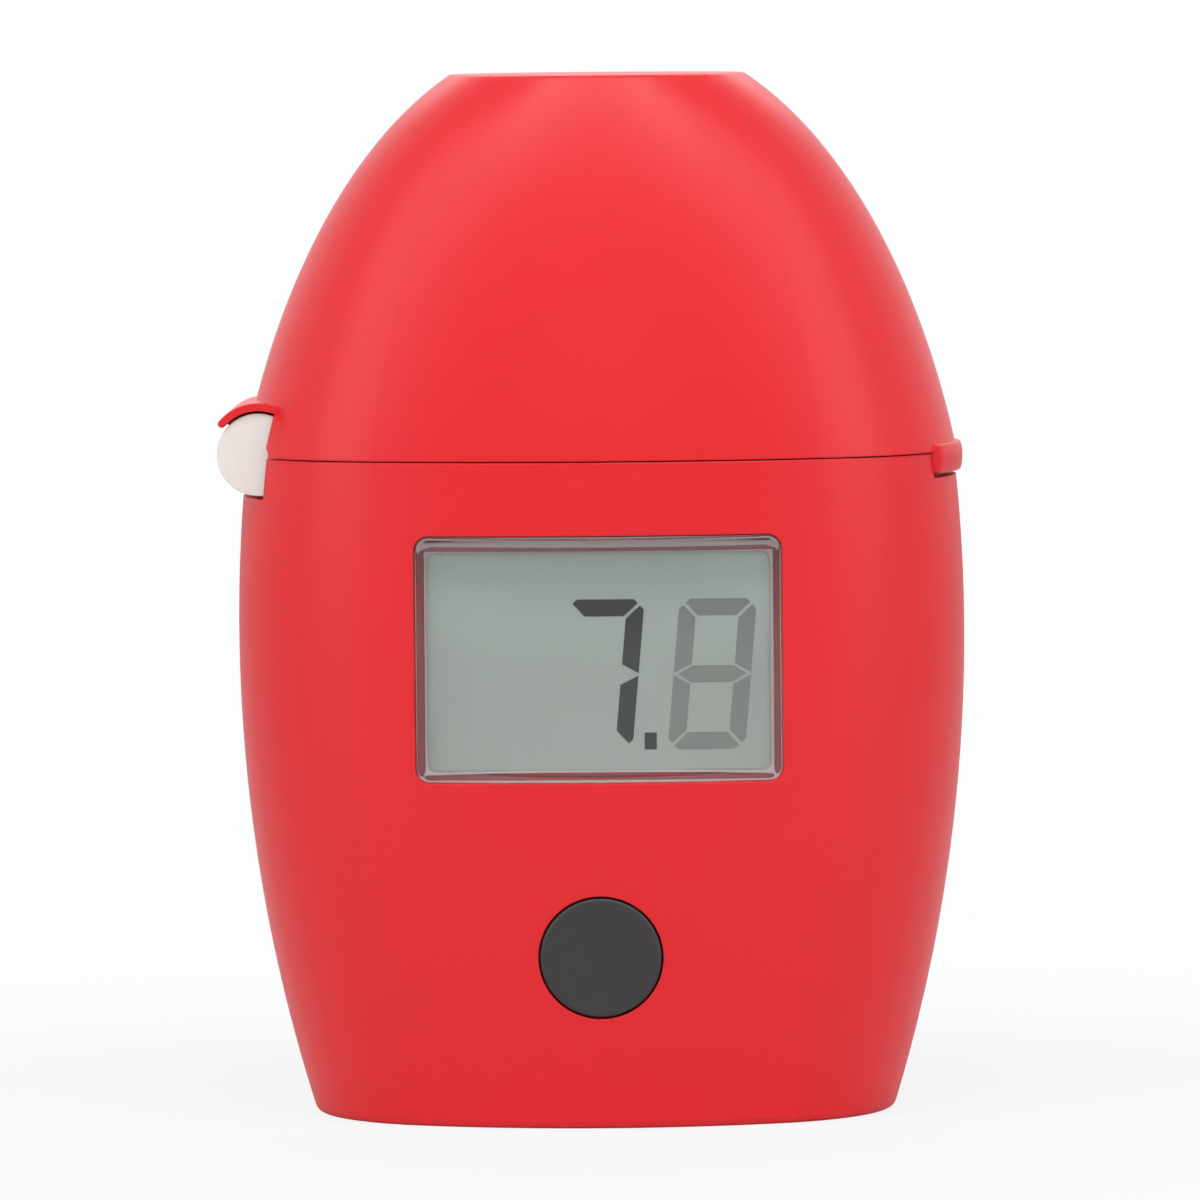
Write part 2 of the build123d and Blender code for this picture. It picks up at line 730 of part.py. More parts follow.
liner_inset = wall + liner_gap
lid_liner = lid_form(lid_bottom + liner_lift, lid_top - liner_inset, liner_inset)
lid_liner -= lid_form(lid_bottom - 1, lid_top - liner_inset - liner_thickness, liner_inset + liner_thickness)
liner_notch = (-notch_half_length - seat_gap, notch_half_length + seat_gap)
lid_liner -= block((-far, frame_foot_end), liner_notch, (0, hinge_z + ear_outer))

for name, shape in {
    "front_shell": front_shell,
    "rear_shell": rear_shell,
    "window_lens": window_lens,
    "display_glass": display_glass,
    "display_frame": display_frame,
    "display_reflector": reflector,
    "display_contact_strips": contact_strips,
    "main_board": main_board,
    "controller_chip": controller_chip,
    "amplifier_chip": amplifier_chip,
    "crystal_can": crystal_can,
    "board_capacitor": board_capacitor,
    "board_screws": board_screws,
    "tact_switch": tact_switch,
    "button_cap": button_cap,
    "cuvette_well": cuvette_well,
    "led_holder": led_holder,
    "led_lamp": led_lamp,
    "led_board": led_board,
    "sensor_holder": sensor_holder,
    "light_filter": light_filter,
    "photodiode": photodiode,
    "sensor_board": sensor_board,
    "inner_deck": inner_deck,
    "light_seal": light_seal,
    "hinge_frame": hinge_frame,
    "hinge_pin": hinge_pin,
    "battery_cell": battery_cell,
    "battery_tray": battery_tray,
    "contact_spring": contact_spring,
    "contact_plate": contact_plate,
    "battery_door": battery_door,
    "door_screw": door_screw,
    "case_screws": case_screws,
    "lid_shell": lid_shell,
    "lid_liner": lid_liner,
}.items():
    save(name, shape)
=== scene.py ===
"""Portable colorimeter: its finishes, display, lens, button, lights and camera."""

import logging
import math
from dataclasses import dataclass
from enum import Enum
from typing import Any, ClassVar

import bmesh
import bpy
from mathutils import Matrix, Vector


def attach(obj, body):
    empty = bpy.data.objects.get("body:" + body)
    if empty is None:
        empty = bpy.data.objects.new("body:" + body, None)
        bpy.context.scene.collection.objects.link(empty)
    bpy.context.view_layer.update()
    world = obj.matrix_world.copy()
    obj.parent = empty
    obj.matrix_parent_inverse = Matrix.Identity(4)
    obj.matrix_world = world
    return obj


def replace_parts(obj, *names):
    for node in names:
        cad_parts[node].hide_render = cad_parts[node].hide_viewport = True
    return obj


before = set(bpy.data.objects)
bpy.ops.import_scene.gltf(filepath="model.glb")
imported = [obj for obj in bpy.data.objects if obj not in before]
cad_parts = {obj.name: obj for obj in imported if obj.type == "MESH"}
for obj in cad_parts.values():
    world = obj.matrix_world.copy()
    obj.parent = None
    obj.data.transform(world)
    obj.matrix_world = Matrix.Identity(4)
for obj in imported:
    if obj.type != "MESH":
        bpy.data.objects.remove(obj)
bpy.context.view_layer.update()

MM = 0.001
SHARP_DEG = 35.0
LOG = logging.getLogger("colorimeter")

# Share of each finer octave in a noise pattern
NOISE_ROUGHNESS = 0.55

# The display's grit is about 0.05 mm and is drawn at this size so that it shows
GRIT_MM = 0.12

Point2 = tuple[float, float]
Point3 = tuple[float, float, float]
Tree = bpy.types.NodeTree


def linear(code: str) -> tuple[float, float, float, float]:
    """Turn an sRGB hex colour into linear values.

    Args:
        code: Colour written as six hex digits after a hash.

    Returns:
        Linear red, green and blue, with an alpha of 1.
    """
    channels = [int(code[i : i + 2], 16) / 255 for i in (1, 3, 5)]
    red, green, blue = [c / 12.92 if c <= 0.04045 else ((c + 0.055) / 1.055) ** 2.4 for c in channels]
    return red, green, blue, 1.0


def add_node(tree: Tree, kind: str, inputs: dict[Any, Any] | None = None, **settings: Any) -> Any:
    """Add a shader node with its settings, values and links.

    Args:
        tree: Node tree that gets the node.
        kind: Blender's name for the node type.
        inputs: Values or output sockets for the node's inputs.
        **settings: Attributes of the node itself.

    Returns:
        The new node.
    """
    node = tree.nodes.new(kind)
    for key, value in settings.items():
        setattr(node, key, value)
    for key, value in (inputs or {}).items():
        if isinstance(value, bpy.types.NodeSocket):
            tree.links.new(value, node.inputs[key])
        else:
            node.inputs[key].default_value = value
    return node


def new_material(name: str) -> tuple[bpy.types.Material, Tree]:
    """Make an empty node material.

    Args:
        name: Name of the material.

    Returns:
        The material and its node tree.
    """
    material = bpy.data.materials.new(name)
    material.use_nodes = True
    material.node_tree.nodes.clear()
    return material, material.node_tree


@dataclass(frozen=True)
class MouldedPlastic:
    """Injection-moulded plastic with a fine spark-eroded grain and softly rounded edges."""

    name: str
    colour: str
    shade: str
    roughness: float
    grain_mm: float = 0.16
    grain_depth_mm: float = 0.004
    ior: float = 1.5
    subsurface: float = 0.0
    edge_mm: float = 0.12
    specular: float = 0.5
    drift_mm: float = 14.0
    gloss_mm: float = 3.0
    gloss_share: float = 0.03
    scatter_mm: float = 0.6

    def material(self) -> bpy.types.Material:
        """Build the material: broad uneven gloss, fine grain and a little colour drift.

        Returns:
            The finished material.
        """
        material, tree = new_material(self.name)
        place = add_node(tree, "ShaderNodeTexCoord")
        drift, gloss, grain = (
            add_node(
                tree,
                "ShaderNodeTexNoise",
                {
                    "Vector": place.outputs["Object"],
                    "Scale": 1 / (size_mm * MM),
                    "Detail": detail,
                    "Roughness": NOISE_ROUGHNESS,
                },
            )
            for size_mm, detail in ((self.drift_mm, 2.0), (self.gloss_mm, 4.0), (self.grain_mm, 3.0))
        )
        colour = add_node(
            tree,
            "ShaderNodeMix",
            {0: drift.outputs["Fac"], 6: linear(self.colour), 7: linear(self.shade)},
            data_type="RGBA",
        )
        low = self.roughness - self.gloss_share
        high = self.roughness + self.gloss_share
        rough = add_node(
            tree, "ShaderNodeMapRange", {"Value": gloss.outputs["Fac"], "To Min": low, "To Max": high}
        )
        edge = add_node(tree, "ShaderNodeBevel", {"Radius": self.edge_mm * MM}, samples=6)
        bump = add_node(
            tree,
            "ShaderNodeBump",
            {
                "Height": grain.outputs["Fac"],
                "Strength": 0.6,
                "Distance": self.grain_depth_mm * MM,
                "Normal": edge.outputs["Normal"],
            },
        )
        shader = add_node(
            tree,
            "ShaderNodeBsdfPrincipled",
            {
                "Base Color": colour.outputs[2],
                "Roughness": rough.outputs["Result"],
                "IOR": self.ior,
                "Specular IOR Level": self.specular,
                "Normal": bump.outputs["Normal"],
                "Subsurface Weight": self.subsurface,
                "Subsurface Scale": self.scatter_mm * MM,
                "Subsurface Radius": (1.0, 0.5, 0.4),
            },
        )
        add_node(tree, "ShaderNodeOutputMaterial", {"Surface": shader.outputs["BSDF"]})
        return material


@dataclass(frozen=True)
class ClearPlastic:
    """Clear polished plastic that lets light through to what lies behind it."""

    name: str
    tint: str
    ior: float = 1.49
    roughness: float = 0.0
    haze_mm: float = 9.0
    haze_share: float = 0.012
    shadow_tint: str = "#f4f4f4"

    def material(self) -> bpy.types.Material:
        """Build the material: refraction for the eye, and plain passage for shadow rays.

        Returns:
            The finished material.
        """
        material, tree = new_material(self.name)
        place = add_node(tree, "ShaderNodeTexCoord")
        haze = add_node(
            tree,
            "ShaderNodeTexNoise",
            {
                "Vector": place.outputs["Object"],
                "Scale": 1 / (self.haze_mm * MM),
                "Detail": 2.0,
                "Roughness": NOISE_ROUGHNESS,
            },
        )
        high = self.roughness + self.haze_share
        rough = add_node(
            tree,
            "ShaderNodeMapRange",
            {"Value": haze.outputs["Fac"], "To Min": self.roughness, "To Max": high},
        )
        glass = add_node(
            tree,
            "ShaderNodeBsdfPrincipled",
            {
                "Base Color": linear(self.tint),
                "Roughness": rough.outputs["Result"],
                "IOR": self.ior,
                "Transmission Weight": 1.0,
            },
        )
        passage = add_node(tree, "ShaderNodeBsdfTransparent", {"Color": linear(self.shadow_tint)})
        ray = add_node(tree, "ShaderNodeLightPath")
        mix = add_node(
            tree,
            "ShaderNodeMixShader",
            {0: ray.outputs["Is Shadow Ray"], 1: glass.outputs["BSDF"], 2: passage.outputs["BSDF"]},
        )
        add_node(tree, "ShaderNodeOutputMaterial", {"Surface": mix.outputs["Shader"]})
        return material


@dataclass(frozen=True)
class PlatedMetal:
    """Drawn or turned metal with a thin plating and fine scratches."""

    name: str
    colour: str
    roughness: float
    scratch_mm: float = 0.12
    scratch_stretch: float = 0.08
    smoother: float = 0.08
    rougher: float = 0.1

    def material(self) -> bpy.types.Material:
        """Build the material: metal with a rolled grain in its gloss.

        Returns:
            The finished material.
        """
        material, tree = new_material(self.name)
        place = add_node(tree, "ShaderNodeTexCoord")
        stretch = add_node(
            tree,
            "ShaderNodeMapping",
            {"Vector": place.outputs["Object"], "Scale": (1.0, self.scratch_stretch, 1.0)},
        )
        scratch = add_node(
            tree,
            "ShaderNodeTexNoise",
            {"Vector": stretch.outputs["Vector"], "Scale": 1 / (self.scratch_mm * MM), "Detail": 3.0},
        )
        low = self.roughness - self.smoother
        high = self.roughness + self.rougher
        rough = add_node(
            tree, "ShaderNodeMapRange", {"Value": scratch.outputs["Fac"], "To Min": low, "To Max": high}
        )
        shader = add_node(
            tree,
            "ShaderNodeBsdfPrincipled",
            {"Base Color": linear(self.colour), "Metallic": 1.0, "Roughness": rough.outputs["Result"]},
        )
        add_node(tree, "ShaderNodeOutputMaterial", {"Surface": shader.outputs["BSDF"]})
        return material


@dataclass(frozen=True)
class SolderMask:
    """Green solder mask over copper tracks on glass epoxy."""

    name: str
    track: str
    ground: str
    track_mm: float = 1.6
    track_edge: float = 0.3
    ground_edge: float = 0.42
    relief_mm: float = 0.03

    def material(self) -> bpy.types.Material:
        """Build the material: tracks read as a lighter green under a glossy lacquer.

        Returns:
            The finished material.
        """
        material, tree = new_material(self.name)
        place = add_node(tree, "ShaderNodeTexCoord")
        tracks = add_node(
            tree,
            "ShaderNodeTexVoronoi",
            {"Vector": place.outputs["Object"], "Scale": 1 / (self.track_mm * MM), "Randomness": 0.35},
            distance="MANHATTAN",
            feature="F1",
        )
        ramp = add_node(tree, "ShaderNodeValToRGB", {"Fac": tracks.outputs["Distance"]})
        stops = ((self.track_edge, self.track), (self.ground_edge, self.ground))
        for element, (position, colour) in zip(ramp.color_ramp.elements, stops):
            element.position = position
            element.color = linear(colour)
        bump = add_node(
            tree,
            "ShaderNodeBump",
            {"Height": ramp.outputs["Color"], "Strength": 0.5, "Distance": self.relief_mm * MM},
        )
        shader = add_node(
            tree,
            "ShaderNodeBsdfPrincipled",
            {
                "Base Color": ramp.outputs["Color"],
                "Roughness": 0.28,
                "IOR": 1.5,
                "Coat Weight": 0.4,
                "Normal": bump.outputs["Normal"],
            },
        )
        add_node(tree, "ShaderNodeOutputMaterial", {"Surface": shader.outputs["BSDF"]})
        return material


@dataclass(frozen=True)
class DisplayField:
    """Reflective liquid-crystal field: grey-green, with painted light that makes it a little lighter towards
    its top, against the shade of the case wall.
    """

    name: str
    upper: str
    lower: str
    low_z_mm: float
    high_z_mm: float
    speck_share: float = 0.045

    def material(self) -> bpy.types.Material:
        """Build the material: a soft upright blend of painted light, lighter at the top, with the fine
        sparkle of the rear reflector.

        Returns:
            The finished material.
        """
        material, tree = new_material(self.name)
        place = add_node(tree, "ShaderNodeTexCoord")
        axes = add_node(tree, "ShaderNodeSeparateXYZ", {"Vector": place.outputs["Object"]})
        # Painted light: the colour lightens towards the top to offset the shade that the case's top wall
        # casts on the field
        painted_light_fade = add_node(
            tree,
            "ShaderNodeMapRange",
            {"Value": axes.outputs["Z"], "From Min": self.low_z_mm * MM, "From Max": self.high_z_mm * MM},
        )
        colour = add_node(
            tree,
            "ShaderNodeMix",
            {0: painted_light_fade.outputs["Result"], 6: linear(self.lower), 7: linear(self.upper)},
            data_type="RGBA",
        )
        grit = add_node(
            tree,
            "ShaderNodeTexNoise",
            {
                "Vector": place.outputs["Object"],
                "Scale": 1 / (GRIT_MM * MM),
                "Detail": 2.0,
                "Roughness": NOISE_ROUGHNESS,
            },
        )
        speck = add_node(
            tree,
            "ShaderNodeMapRange",
            {
                "Value": grit.outputs["Fac"],
                "To Min": 1 - self.speck_share,
                "To Max": 1 + self.speck_share,
            },
        )
        flecked = add_node(
            tree,
            "ShaderNodeVectorMath",
            {0: colour.outputs[2], "Scale": speck.outputs["Result"]},
            operation="SCALE",
        )
        shader = add_node(
            tree,
            "ShaderNodeBsdfPrincipled",
            {"Base Color": flecked.outputs["Vector"], "Roughness": 0.4, "IOR": 1.5},
        )
        add_node(tree, "ShaderNodeOutputMaterial", {"Surface": shader.outputs["BSDF"]})
        return material


@dataclass(frozen=True)
class CrystalInk:
    """Driven liquid crystal: a flat dark tone in the display, with a trace of the field's grit."""

    name: str
    colour: str
    shade: str

    def material(self) -> bpy.types.Material:
        """Build the material: two close tones mixed by fine grit, dull as seen through a polariser.

        Returns:
            The finished material.
        """
        material, tree = new_material(self.name)
        place = add_node(tree, "ShaderNodeTexCoord")
        grit = add_node(
            tree,
            "ShaderNodeTexNoise",
            {
                "Vector": place.outputs["Object"],
                "Scale": 1 / (GRIT_MM * MM),
                "Detail": 2.0,
                "Roughness": NOISE_ROUGHNESS,
            },
        )
        colour = add_node(
            tree,
            "ShaderNodeMix",
            {0: grit.outputs["Fac"], 6: linear(self.colour), 7: linear(self.shade)},
            data_type="RGBA",
        )
        shader = add_node(
            tree,
            "ShaderNodeBsdfPrincipled",
            {"Base Color": colour.outputs[2], "Roughness": 0.5, "IOR": 1.5, "Specular IOR Level": 0.3},
        )
        add_node(tree, "ShaderNodeOutputMaterial", {"Surface": shader.outputs["BSDF"]})
        return material


@dataclass(frozen=True)
class TentPaper:
    """White paper sheet that glows for the camera and takes a soft shadow near the instrument."""

    name: str
    paper: str
    glow: str
    shadow_near_mm: float = 45.0
    shadow_far_mm: float = 130.0
    near_share: float = 0.85

    def material(self) -> bpy.types.Material:
        """Build the material: a share of lit paper near the instrument, and only glow far off.

        Returns:
            The finished material.
        """
        material, tree = new_material(self.name)
        ray = add_node(tree, "ShaderNodeLightPath")
        place = add_node(tree, "ShaderNodeTexCoord")
        reach = add_node(tree, "ShaderNodeVectorMath", {0: place.outputs["Object"]}, operation="LENGTH")
        white = add_node(
            tree,
            "ShaderNodeMapRange",
            {
                "Value": reach.outputs["Value"],
                "From Min": self.shadow_near_mm * MM,
                "From Max": self.shadow_far_mm * MM,
                "To Min": self.near_share,
                "To Max": 1.0,
            },
            interpolation_type="SMOOTHSTEP",
        )
        share = add_node(
            tree,
            "ShaderNodeMath",
            {0: white.outputs["Result"], 1: ray.outputs["Is Camera Ray"]},
            operation="MULTIPLY",
        )
        paper = add_node(tree, "ShaderNodeBsdfDiffuse", {"Color": linear(self.paper)})
        glow = add_node(tree, "ShaderNodeEmission", {"Color": linear(self.glow), "Strength": 1.0})
        mix = add_node(
            tree,
            "ShaderNodeMixShader",
            {0: share.outputs["Value"], 1: paper.outputs["BSDF"], 2: glow.outputs["Emission"]},
        )
        add_node(tree, "ShaderNodeOutputMaterial", {"Surface": mix.outputs["Shader"]})
        return material


class Finish(Enum):
    """Named finishes of the instrument, each with what its making gives the eye; two of them paint shade and
    highlight.
    """

    # Red ABS, injection moulded: satin with a fine even grain
    RED_ABS = MouldedPlastic(
        "red_abs_moulded",
        "#e3121e",
        "#df0f1b",
        roughness=0.37,
        grain_mm=0.2,
        grain_depth_mm=0.006,
        ior=1.53,
        edge_mm=0.2,
        specular=0.45,
    )
    # Natural acetal, injection moulded: milky off-white with a waxy gloss
    ACETAL = MouldedPlastic(
        "acetal_moulded",
        "#ece8e4",
        "#e6e2dd",
        roughness=0.38,
        grain_mm=0.25,
        grain_depth_mm=0.003,
        ior=1.48,
        subsurface=0.15,
        edge_mm=0.2,
    )
    # Painted shade: a dull dark maroon ring round the window, soft at its edges, that stands for the red
    # case wall in shade behind the lens
    GASKET = MouldedPlastic(
        "painted_shade_maroon",
        "#8c2a30",
        "#84262c",
        roughness=0.55,
        grain_mm=0.3,
        grain_depth_mm=0.004,
        ior=1.43,
    )
    # Painted highlight: pale threads round the ring of painted shade that stand for the glints of light on
    # the lens rim
    BEAD = MouldedPlastic(
        "painted_rim_glint", "#c8b4b4", "#c0acac", roughness=0.25, grain_mm=0.3, grain_depth_mm=0.002
    )
    # Black ABS, injection moulded: dull so that no stray light reaches the well
    BLACK_ABS = MouldedPlastic(
        "black_abs_moulded", "#18181a", "#131315", roughness=0.55, grain_mm=0.18, grain_depth_mm=0.006
    )
    # Dark grey ABS, injection moulded: the button's satin cap
    BUTTON_ABS = MouldedPlastic(
        "dark_grey_abs_moulded", "#343334", "#2f2e2f", roughness=0.42, grain_mm=0.16, grain_depth_mm=0.005
    )
    # White ABS, injection moulded: the display's frame
    WHITE_ABS = MouldedPlastic("white_abs_moulded", "#e4e4e0", "#dcdcd8", roughness=0.4)
    # Silicone with carbon layers, cut: dull pinkish grey
    ELASTOMER = MouldedPlastic("silicone_strip_cut", "#6d6261", "#5c5251", roughness=0.6)
    # Closed-cell foam, die cut: black and matt with open pores
    FOAM = MouldedPlastic(
        "foam_die_cut", "#1a1a1a", "#101010", roughness=0.85, grain_mm=0.3, grain_depth_mm=0.06
    )
    # Epoxy, transfer moulded: the chips' grainy black bodies
    EPOXY = MouldedPlastic(
        "chip_epoxy_moulded", "#1c1c1d", "#151516", roughness=0.5, grain_mm=0.12, grain_depth_mm=0.01
    )
    # Reflector film, rolled: satin grey behind the display
    FILM = MouldedPlastic(
        "reflector_film_rolled", "#b4b9b4", "#a9aea9", roughness=0.35, grain_mm=0.12, grain_depth_mm=0.002
    )
    # Battery sleeve, printed film shrunk on a steel can: dark and glossy
    SLEEVE = MouldedPlastic(
        "battery_sleeve_shrunk", "#26303a", "#20282f", roughness=0.25, grain_mm=1.2, grain_depth_mm=0.004
    )
    # Acrylic, moulded and polished: clear and glossy
    ACRYLIC = ClearPlastic("acrylic_polished", "#fbfbfb")
    # Clear epoxy, cast: the lamp's water-clear body
    RESIN = ClearPlastic("lamp_epoxy_cast", "#e8f4e8", ior=1.54, roughness=0.03)
    # Coated glass, polished: the green passband filter
    FILTER = ClearPlastic("filter_glass_polished", "#7fd090", ior=1.52)
    # Steel, zinc plated: bright grey with a rolled grain
    ZINC = PlatedMetal("steel_zinc_plated", "#c4c3bd", roughness=0.32)
    # Spring steel, nickel plated: the battery contacts, brighter and warmer than zinc
    NICKEL = PlatedMetal("steel_nickel_plated", "#d8d2c2", roughness=0.22)
    # Solder mask, printed over copper tracks: glossy green with lighter lines
    SOLDER = SolderMask("solder_mask_printed", track="#1d7a3e", ground="#0d4a24")
    # Liquid-crystal field, laminated: grey-green with a fine sparkle, and painted light that lightens its
    # top against the case wall's shade
    FIELD = DisplayField(
        "display_field_laminated", upper="#abbab3", lower="#97a19a", low_z_mm=38.0, high_z_mm=48.5
    )
    # Liquid crystal, driven dark: nearly black with a green cast
    INK_DARK = CrystalInk("crystal_driven_dark", "#121615", "#0f1312")
    # Liquid crystal, half driven: the grey of a numeral that is read between two strobes
    INK_GREY = CrystalInk("crystal_driven_grey", "#787e79", "#727873")
    # Paper sheet, pressed: plain white, with no grain that shows from here
    PAPER = TentPaper("white_paper_sheet", paper="#e1e1e1", glow="#fcfdfe")

    def material(self) -> bpy.types.Material:
        """Return the finish's material, built once."""
        return bpy.data.materials.get(self.value.name) or self.value.material()


def dress(node: str, finish: Finish) -> None:
    """Give a carried-over CAD node its finish.

    Args:
        node: Name of the node.
        finish: Finish for all its faces.
    """
    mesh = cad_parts[node].data
    mesh.materials.clear()
    mesh.materials.append(finish.material())
    LOG.info("dressed %s in %s", node, finish.value.name)


def as_object(name: str, bm: bmesh.types.BMesh, finish: Finish) -> bpy.types.Object:
    """Turn a bmesh into an object at the origin.

    Args:
        name: Name of the object.
        bm: Mesh to keep; it is freed.
        finish: Finish for all its faces.

    Returns:
        The new object.
    """
    mesh = bpy.data.meshes.new(name)
    bm.to_mesh(mesh)
    bm.free()
    mesh.materials.append(finish.material())
    made = bpy.data.objects.new(name, mesh)
    bpy.context.scene.collection.objects.link(made)
    return made


def as_piece(name: str, bm: bmesh.types.BMesh, finish: Finish, body: str) -> bpy.types.Object:
    """Turn a bmesh into a smoothly shaded piece that rides on a body.

    Args:
        name: Name of the piece.
        bm: Mesh to keep; it is freed.
        finish: Finish for all its faces.
        body: Body that carries the piece.

    Returns:
        The new object, at the origin.
    """
    piece = as_object(name, bm, finish)
    for polygon in piece.data.polygons:
        polygon.use_smooth = True
    piece.data.set_sharp_from_angle(angle=math.radians(SHARP_DEG))
    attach(piece, body)
    LOG.info("built %s", name)
    return piece


def add_block(bm: bmesh.types.BMesh, middle: Point3, size: Point3) -> None:
    """Add an upright block.

    Args:
        bm: Mesh that gets the block.
        middle: Its centre, in millimetres.
        size: Its sizes along X, Y and Z, in millimetres.
    """
    stretch = Matrix.Diagonal((*(Vector(size) * MM), 1.0))
    bmesh.ops.create_cube(bm, size=1.0, matrix=Matrix.Translation(Vector(middle) * MM) @ stretch)


def add_plate(bm: bmesh.types.BMesh, outline: list[Point2], thickness_mm: float = 0.03) -> None:
    """Add a thin upright plate that stands forward from Y = 0.

    Args:
        bm: Mesh that gets the plate.
        outline: X and Z of its corners, in millimetres.
        thickness_mm: Thickness towards the front.
    """
    face = bm.faces.new([bm.verts.new(Vector((x, 0, z)) * MM) for x, z in outline])
    made = bmesh.ops.extrude_face_region(bm, geom=[face], use_keep_orig=True)["geom"]
    moved = [item for item in made if isinstance(item, bmesh.types.BMVert)]
    bmesh.ops.translate(bm, verts=moved, vec=(0, -thickness_mm * MM, 0))
    bmesh.ops.recalc_face_normals(bm, faces=bm.faces)


def along_depth(edge: bmesh.types.BMEdge, least_mm: float) -> bool:
    """Tell whether an edge's ends lie further apart in Y than a given distance."""
    return abs(edge.verts[0].co.y - edge.verts[1].co.y) > least_mm * MM


def round_edges(
    bm: bmesh.types.BMesh, edges: list[bmesh.types.BMEdge], radius_mm: float, segments: int
) -> None:
    """Round some edges of a mesh.

    Args:
        bm: Mesh that holds the edges.
        edges: Edges to round.
        radius_mm: Radius of the rounding, in millimetres.
        segments: Number of strips round it.
    """
    bmesh.ops.bevel(
        bm,
        geom=edges,
        offset=radius_mm * MM,
        offset_type="OFFSET",
        affect="EDGES",
        segments=segments,
        profile=0.5,
        material=-1,
    )


def arc_drop(radius: float, offset: float) -> float:
    """Fall of an arc below its crown at a distance from it."""
    return radius - math.sqrt(radius**2 - offset**2)


@dataclass(frozen=True)
class CaseFront:
    """Gently curved front of the case, as the CAD has it."""

    half_width_mm: float = 30.1
    half_depth_mm: float = 18.75
    side_radius_mm: float = 134.0
    front_radius_mm: float = 292.0
    waist_z_mm: float = 40.0
    side_roundness: float = 0.88

    def face_y(self, x: float, z: float, below_mm: float = 0.0) -> float:
        """Find where the front passes.

        Args:
            x: Distance from the middle, in millimetres.
            z: Height, in millimetres.
            below_mm: Depth under the surface of the case.

        Returns:
            Y of the face, in millimetres.
        """
        rise = z - self.waist_z_mm
        width = self.half_width_mm - arc_drop(self.side_radius_mm, rise) - below_mm
        depth = self.half_depth_mm - arc_drop(self.front_radius_mm, rise) - below_mm
        side = self.side_roundness * depth
        front = ((width - side) ** 2 + depth**2 - side**2) / (2 * (depth - side))
        return arc_drop(front, x) - depth

    def slope(self, z: float) -> float:
        """Return the angle at which the front leans forward under the waist."""
        return math.atan2(self.waist_z_mm - z, self.front_radius_mm)


class SubAssembly:
    """Pieces of the instrument that belong together."""

    finishes: ClassVar[dict[str, Finish]] = {}

    def dress(self) -> None:
        """Give each carried-over CAD node of the sub-assembly its finish."""
        for node, finish in self.finishes.items():
            dress(node, finish)

    def build(self) -> None:
        """Build what the CAD nodes don't show; by default there is nothing."""


@dataclass
class Housing(SubAssembly):
    """Front and rear halves of the case, with the screws that join them."""

    finishes: ClassVar[dict[str, Finish]] = {
        "front_shell": Finish.RED_ABS,
        "rear_shell": Finish.RED_ABS,
        "case_screws": Finish.ZINC,
        "inner_deck": Finish.BLACK_ABS,
        "light_seal": Finish.FOAM,
    }


@dataclass
class Lid(SubAssembly):
    """Domed lid with its black lining, on the hinge's fixed knuckles and pin."""

    finishes: ClassVar[dict[str, Finish]] = {
        "lid_shell": Finish.RED_ABS,
        "lid_liner": Finish.BLACK_ABS,
        "hinge_frame": Finish.ACETAL,
        "hinge_pin": Finish.ZINC,
    }


@dataclass(frozen=True)
class Numeral:
    """One seven-segment numeral of the display, in thin plates that meet at slanting gaps."""

    name: str
    centre_x_mm: float
    lit: str
    finish: Finish
    centre_z_mm: float = 37.25
    width_mm: float = 6.25
    height_mm: float = 12.25
    bar_mm: float = 1.39
    gap_mm: float = 0.18
    corner_mm: float = 0.85
    tip_mm: float = 0.75
    slant_deg: float = 5.0

    def top_bar(self) -> list[Point2]:
        """Trace the top bar: long outside, short inside, with cut outer corners.

        Returns:
            X and Z of its corners about the numeral's centre, in millimetres.
        """
        across = self.width_mm / 2
        top = self.height_mm / 2
        cut = (self.corner_mm - self.gap_mm) / 2
        half = [
            (across - self.corner_mm, top),
            (across - self.corner_mm + cut, top - cut),
            (across - self.bar_mm - self.gap_mm, top - self.bar_mm),
        ]
        return half + [(-x, z) for x, z in reversed(half)]

    def side_bar(self) -> list[Point2]:
        """Trace the upper right bar, whose foot runs to a point on the outside.

        Returns:
            X and Z of its corners about the numeral's centre, in millimetres.
        """
        across = self.width_mm / 2
        top = self.height_mm / 2
        cut = (self.corner_mm + self.gap_mm) / 2
        return [
            (across - self.corner_mm + cut, top - cut),
            (across, top - self.corner_mm),
            (across, self.gap_mm / 2),
            (across - self.bar_mm, self.gap_mm / 2 + self.tip_mm),
            (across - self.bar_mm, top - self.bar_mm - self.gap_mm),
        ]

    def middle_bar(self) -> list[Point2]:
        """Trace the middle bar, pointed at both ends.

        Returns:
            X and Z of its corners about the numeral's centre, in millimetres.
        """
        tip = self.width_mm / 2 - 2 * self.gap_mm
        flat = self.width_mm / 2 - self.bar_mm - self.gap_mm / 2
        half = [(flat, self.bar_mm / 2), (tip, 0.0), (flat, -self.bar_mm / 2)]
        return half + [(-x, z) for x, z in reversed(half)]

    def outline(self, letter: str) -> list[Point2]:
        """Trace one segment.

        Args:
            letter: Segment, from a at the top clockwise to f, with g in the middle.

        Returns:
            X and Z of its corners about the numeral's centre, in millimetres.
        """
        if letter == "g":
            return self.middle_bar()
        if letter in "ad":
            return [(x, z if letter == "a" else -z) for x, z in self.top_bar()]
        right = -1 if letter in "ef" else 1
        up = -1 if letter in "ce" else 1
        return [(right * x, up * z) for x, z in self.side_bar()]

    def build(self, face_y_mm: float) -> None:
        """Cut the lit segments and lay them on the display's face.

        Args:
            face_y_mm: Y of the front of the display glass.
        """
        bm = bmesh.new()
        for letter in self.lit:
            add_plate(bm, self.outline(letter))
        lean = Matrix.Identity(4)
        lean[0][2] = math.tan(math.radians(self.slant_deg))
        place = Matrix.Translation(Vector((self.centre_x_mm, face_y_mm, self.centre_z_mm)) * MM)
        bmesh.ops.transform(bm, matrix=place @ lean, verts=bm.verts)
        as_piece(self.name, bm, self.finish, "case")


